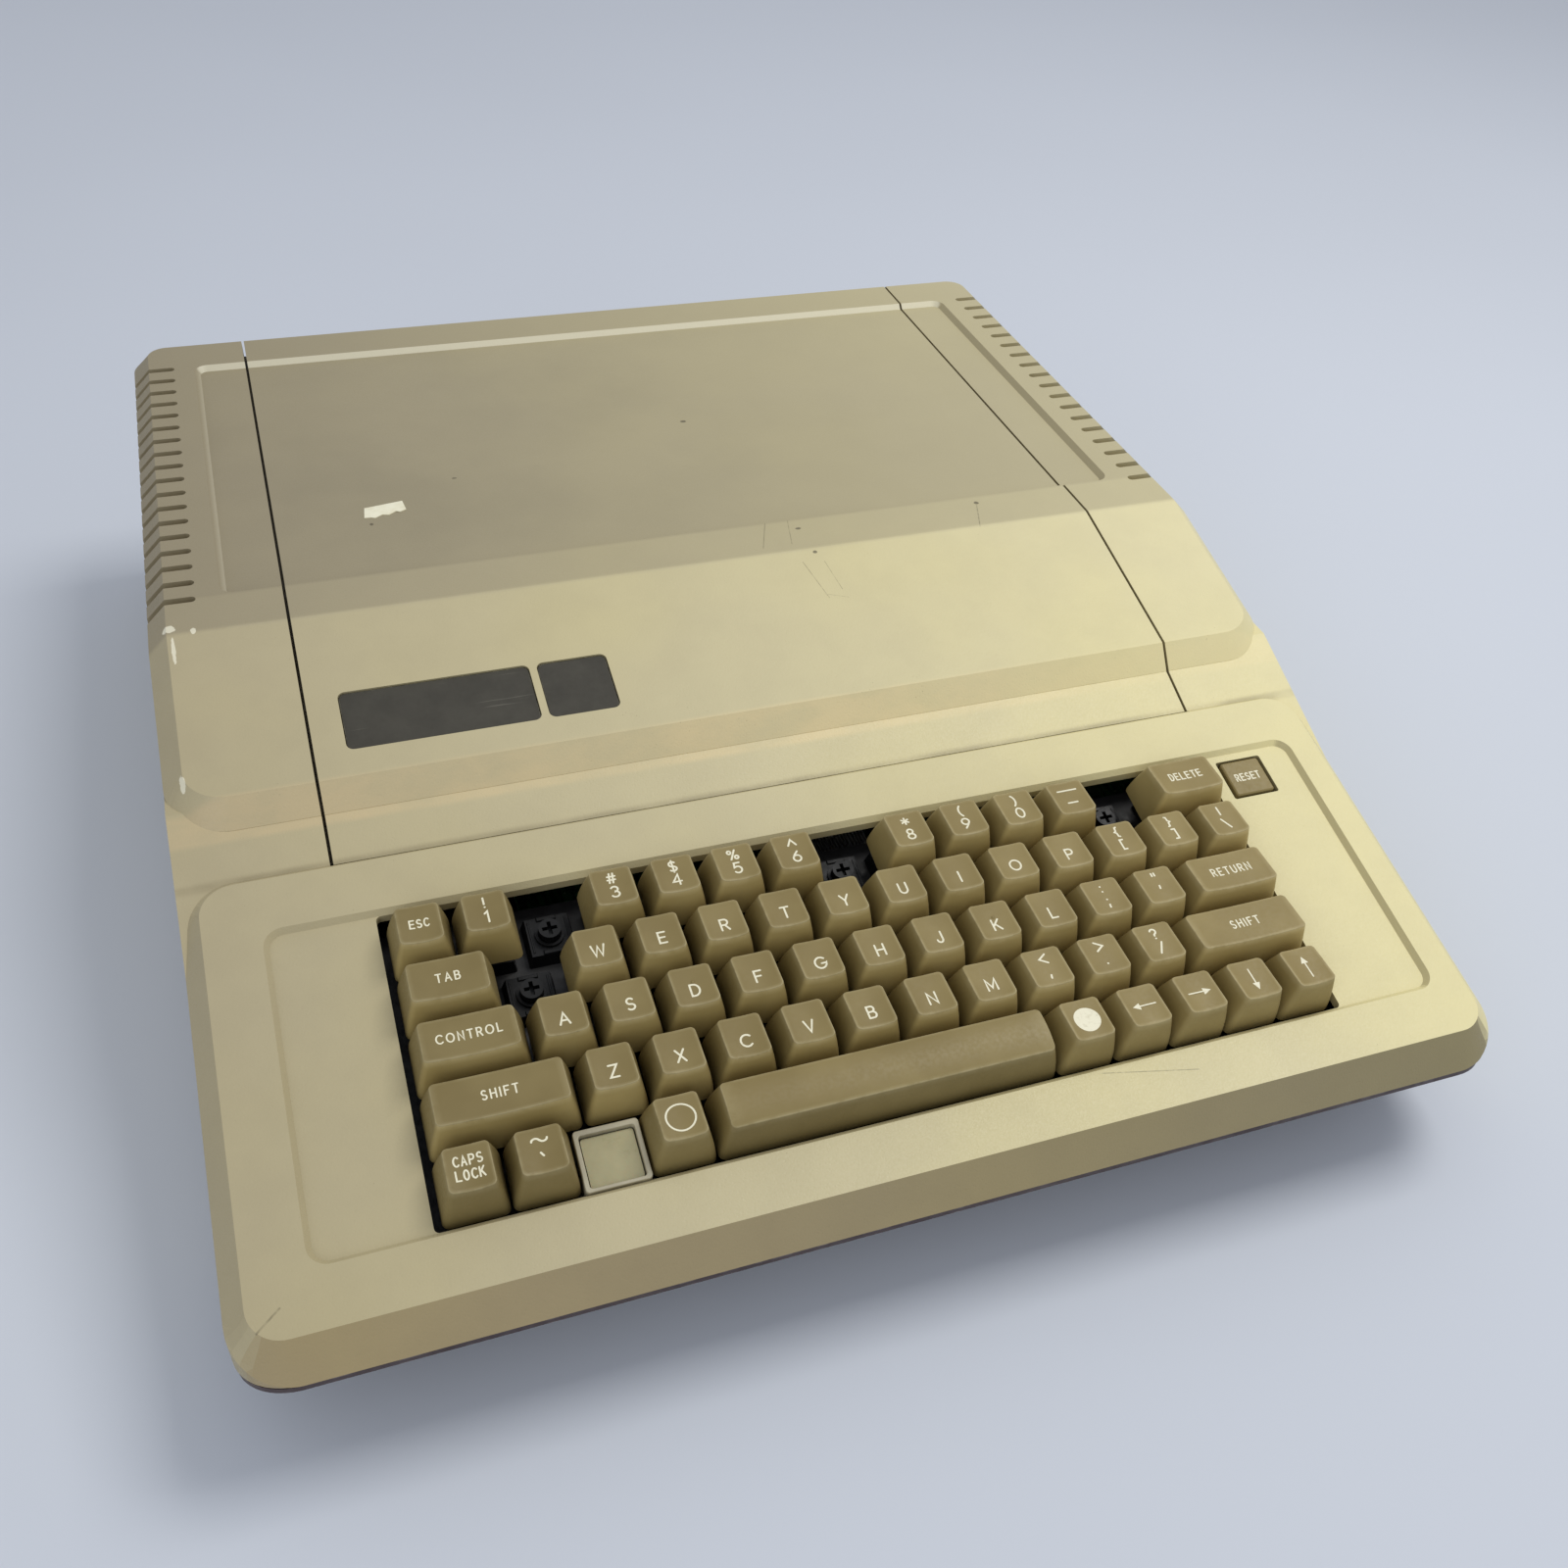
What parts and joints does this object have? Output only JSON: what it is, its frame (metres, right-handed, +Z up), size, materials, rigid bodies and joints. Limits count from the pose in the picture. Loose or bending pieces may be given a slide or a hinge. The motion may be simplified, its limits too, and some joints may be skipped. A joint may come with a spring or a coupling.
{
  "type": "home computer",
  "caption": "Wedge-shaped desk-top home computer with a lift-off lid, vented sides, a sloping built-in keyboard, main board, power supply and rear sockets.",
  "frame": {"origin": "middle of the footprint, on the table under the feet", "axes": "+X to the user's right, -Y towards the user (keyboard side), +Z up"},
  "size_m": [0.3846, 0.451, 0.11],
  "materials": {
    "case_plastic": "aged beige moulded plastic with a fine leather-like grain",
    "key_plastic": "taupe brown, fine matt texture",
    "switch_black": "satin black",
    "dark_plastic": "satin black",
    "chip": "matt black",
    "white_plastic": "natural nylon",
    "lamp_plastic": "pale beige",
    "lens": "frosted pale lens",
    "nameplate": "dark grey, satin",
    "pan_paint": "dark purple-brown paint",
    "sheet_metal": "plated sheet",
    "black_steel": "black painted steel",
    "steel": "zinc plated",
    "jack_metal": "nickel plated",
    "board": "green solder mask",
    "cable": "grey insulation",
    "rubber": "black rubber"
  },
  "bodies": {
    "case": {"upper_case": "case_plastic", "base_pan": "pan_paint", "rubber_feet": "rubber", "case_screws": "steel", "back_panel": "sheet_metal", "port_covers": "dark_plastic", "power_supply_case": "sheet_metal", "power_supply_board": "board", "mains_inlet": "dark_plastic", "power_switch_frame": "dark_plastic", "power_lead": "cable", "main_board": "board", "board_standoffs": "white_plastic", "expansion_slots": "dark_plastic", "board_chips": "chip", "rear_jacks": "jack_metal", "game_connector": "jack_metal", "speaker": "dark_plastic", "keyboard_plate": "black_steel", "keyboard_board": "board", "switch_housings": "switch_black", "keyboard_cable": "cable", "power_light_frame": "lamp_plastic", "power_light_lens": "lens", "stud_clips": "white_plastic"},
    "lid": {"lid": "case_plastic", "nameplates": "nameplate", "lid_studs": "white_plastic"},
    "power_switch": {"power_switch": "dark_plastic"},
    "key_esc": {"key_esc": "key_plastic"},
    "key_delete": {"key_delete": "key_plastic"},
    "key_tab": {"key_tab": "key_plastic"},
    "key_control": {"key_control": "key_plastic"},
    "key_a": {"key_a": "key_plastic"},
    "key_s": {"key_s": "key_plastic"},
    "key_d": {"key_d": "key_plastic"},
    "key_f": {"key_f": "key_plastic"},
    "key_g": {"key_g": "key_plastic"},
    "key_h": {"key_h": "key_plastic"},
    "key_j": {"key_j": "key_plastic"},
    "key_k": {"key_k": "key_plastic"},
    "key_l": {"key_l": "key_plastic"},
    "key_return": {"key_return": "key_plastic"},
    "key_shift_left": {"key_shift_left": "key_plastic"},
    "key_shift_right": {"key_shift_right": "key_plastic"},
    "key_caps_lock": {"key_caps_lock": "key_plastic"},
    "key_tilde": {"key_tilde": "key_plastic"},
    "key_hollow_mark": {"key_hollow_mark": "key_plastic"},
    "key_space": {"key_space": "key_plastic"},
    "key_solid_mark": {"key_solid_mark": "key_plastic"},
    "key_left": {"key_left": "key_plastic"},
    "key_right": {"key_right": "key_plastic"},
    "key_down": {"key_down": "key_plastic"},
    "key_up": {"key_up": "key_plastic"},
    "key_reset": {"key_reset": "key_plastic"},
    "number_keys": {"number_keys": "key_plastic"},
    "upper_letter_keys": {"upper_letter_keys": "key_plastic"},
    "lower_letter_keys": {"lower_letter_keys": "key_plastic"},
    "punctuation_keys": {"punctuation_keys": "key_plastic"},
    "bare_plungers": {"bare_plungers": "switch_black"}
  },
  "joints": [
    {"name": "lid_lift", "type": "slide", "parent": "case", "child": "lid", "axis": [0, 0, 1], "range_m": [0, 0.12]},
    {"name": "power_switch_rock", "type": "hinge", "parent": "case", "child": "power_switch", "pos_m": [-0.152, 0.2191, 0.04], "axis": [1, 0, 0], "range_deg": [-16, 0]},
    {"name": "key_esc_press", "type": "slide", "parent": "case", "child": "key_esc", "axis": [0, 0.225, -0.9744], "range_m": [0, 0.0038], "stiffness_N_per_m": 90, "springref_m": -0.0033},
    {"name": "key_delete_press", "type": "slide", "parent": "case", "child": "key_delete", "axis": [0, 0.225, -0.9744], "range_m": [0, 0.0038], "stiffness_N_per_m": 90, "springref_m": -0.0033},
    {"name": "key_tab_press", "type": "slide", "parent": "case", "child": "key_tab", "axis": [0, 0.225, -0.9744], "range_m": [0, 0.0038], "stiffness_N_per_m": 90, "springref_m": -0.0033},
    {"name": "key_control_press", "type": "slide", "parent": "case", "child": "key_control", "axis": [0, 0.225, -0.9744], "range_m": [0, 0.0038], "stiffness_N_per_m": 90, "springref_m": -0.0033},
    {"name": "key_a_press", "type": "slide", "parent": "case", "child": "key_a", "axis": [0, 0.225, -0.9744], "range_m": [0, 0.0038], "stiffness_N_per_m": 90, "springref_m": -0.0033},
    {"name": "key_s_press", "type": "slide", "parent": "case", "child": "key_s", "axis": [0, 0.225, -0.9744], "range_m": [0, 0.0038], "stiffness_N_per_m": 90, "springref_m": -0.0033},
    {"name": "key_d_press", "type": "slide", "parent": "case", "child": "key_d", "axis": [0, 0.225, -0.9744], "range_m": [0, 0.0038], "stiffness_N_per_m": 90, "springref_m": -0.0033},
    {"name": "key_f_press", "type": "slide", "parent": "case", "child": "key_f", "axis": [0, 0.225, -0.9744], "range_m": [0, 0.0038], "stiffness_N_per_m": 90, "springref_m": -0.0033},
    {"name": "key_g_press", "type": "slide", "parent": "case", "child": "key_g", "axis": [0, 0.225, -0.9744], "range_m": [0, 0.0038], "stiffness_N_per_m": 90, "springref_m": -0.0033},
    {"name": "key_h_press", "type": "slide", "parent": "case", "child": "key_h", "axis": [0, 0.225, -0.9744], "range_m": [0, 0.0038], "stiffness_N_per_m": 90, "springref_m": -0.0033},
    {"name": "key_j_press", "type": "slide", "parent": "case", "child": "key_j", "axis": [0, 0.225, -0.9744], "range_m": [0, 0.0038], "stiffness_N_per_m": 90, "springref_m": -0.0033},
    {"name": "key_k_press", "type": "slide", "parent": "case", "child": "key_k", "axis": [0, 0.225, -0.9744], "range_m": [0, 0.0038], "stiffness_N_per_m": 90, "springref_m": -0.0033},
    {"name": "key_l_press", "type": "slide", "parent": "case", "child": "key_l", "axis": [0, 0.225, -0.9744], "range_m": [0, 0.0038], "stiffness_N_per_m": 90, "springref_m": -0.0033},
    {"name": "key_return_press", "type": "slide", "parent": "case", "child": "key_return", "axis": [0, 0.225, -0.9744], "range_m": [0, 0.0038], "stiffness_N_per_m": 90, "springref_m": -0.0033},
    {"name": "key_shift_left_press", "type": "slide", "parent": "case", "child": "key_shift_left", "axis": [0, 0.225, -0.9744], "range_m": [0, 0.0038], "stiffness_N_per_m": 90, "springref_m": -0.0033},
    {"name": "key_shift_right_press", "type": "slide", "parent": "case", "child": "key_shift_right", "axis": [0, 0.225, -0.9744], "range_m": [0, 0.0038], "stiffness_N_per_m": 90, "springref_m": -0.0033},
    {"name": "key_caps_lock_press", "type": "slide", "parent": "case", "child": "key_caps_lock", "axis": [0, 0.225, -0.9744], "range_m": [0, 0.0038], "stiffness_N_per_m": 90, "springref_m": -0.0033},
    {"name": "key_tilde_press", "type": "slide", "parent": "case", "child": "key_tilde", "axis": [0, 0.225, -0.9744], "range_m": [0, 0.0038], "stiffness_N_per_m": 90, "springref_m": -0.0033},
    {"name": "key_hollow_mark_press", "type": "slide", "parent": "case", "child": "key_hollow_mark", "axis": [0, 0.225, -0.9744], "range_m": [0, 0.0038], "stiffness_N_per_m": 90, "springref_m": -0.0033},
    {"name": "key_space_press", "type": "slide", "parent": "case", "child": "key_space", "axis": [0, 0.225, -0.9744], "range_m": [0, 0.0038], "stiffness_N_per_m": 160, "springref_m": -0.0033},
    {"name": "key_solid_mark_press", "type": "slide", "parent": "case", "child": "key_solid_mark", "axis": [0, 0.225, -0.9744], "range_m": [0, 0.0038], "stiffness_N_per_m": 90, "springref_m": -0.0033},
    {"name": "key_left_press", "type": "slide", "parent": "case", "child": "key_left", "axis": [0, 0.225, -0.9744], "range_m": [0, 0.0038], "stiffness_N_per_m": 90, "springref_m": -0.0033},
    {"name": "key_right_press", "type": "slide", "parent": "case", "child": "key_right", "axis": [0, 0.225, -0.9744], "range_m": [0, 0.0038], "stiffness_N_per_m": 90, "springref_m": -0.0033},
    {"name": "key_down_press", "type": "slide", "parent": "case", "child": "key_down", "axis": [0, 0.225, -0.9744], "range_m": [0, 0.0038], "stiffness_N_per_m": 90, "springref_m": -0.0033},
    {"name": "key_up_press", "type": "slide", "parent": "case", "child": "key_up", "axis": [0, 0.225, -0.9744], "range_m": [0, 0.0038], "stiffness_N_per_m": 90, "springref_m": -0.0033},
    {"name": "key_reset_press", "type": "slide", "parent": "case", "child": "key_reset", "axis": [0, 0.225, -0.9744], "range_m": [0, 0.0025], "stiffness_N_per_m": 200, "springref_m": -0.0033},
    {"name": "number_keys_press", "type": "slide", "parent": "case", "child": "number_keys", "axis": [0, 0.225, -0.9744], "range_m": [0, 0.0038], "stiffness_N_per_m": 810, "springref_m": -0.0033},
    {"name": "upper_letter_keys_press", "type": "slide", "parent": "case", "child": "upper_letter_keys", "axis": [0, 0.225, -0.9744], "range_m": [0, 0.0038], "stiffness_N_per_m": 810, "springref_m": -0.0033},
    {"name": "lower_letter_keys_press", "type": "slide", "parent": "case", "child": "lower_letter_keys", "axis": [0, 0.225, -0.9744], "range_m": [0, 0.0038], "stiffness_N_per_m": 900, "springref_m": -0.0033},
    {"name": "punctuation_keys_press", "type": "slide", "parent": "case", "child": "punctuation_keys", "axis": [0, 0.225, -0.9744], "range_m": [0, 0.0038], "stiffness_N_per_m": 450, "springref_m": -0.0033},
    {"name": "bare_plungers_press", "type": "slide", "parent": "case", "child": "bare_plungers", "axis": [0, 0.225, -0.9744], "range_m": [0, 0.0038], "stiffness_N_per_m": 360, "springref_m": -0.0033}
  ]
}
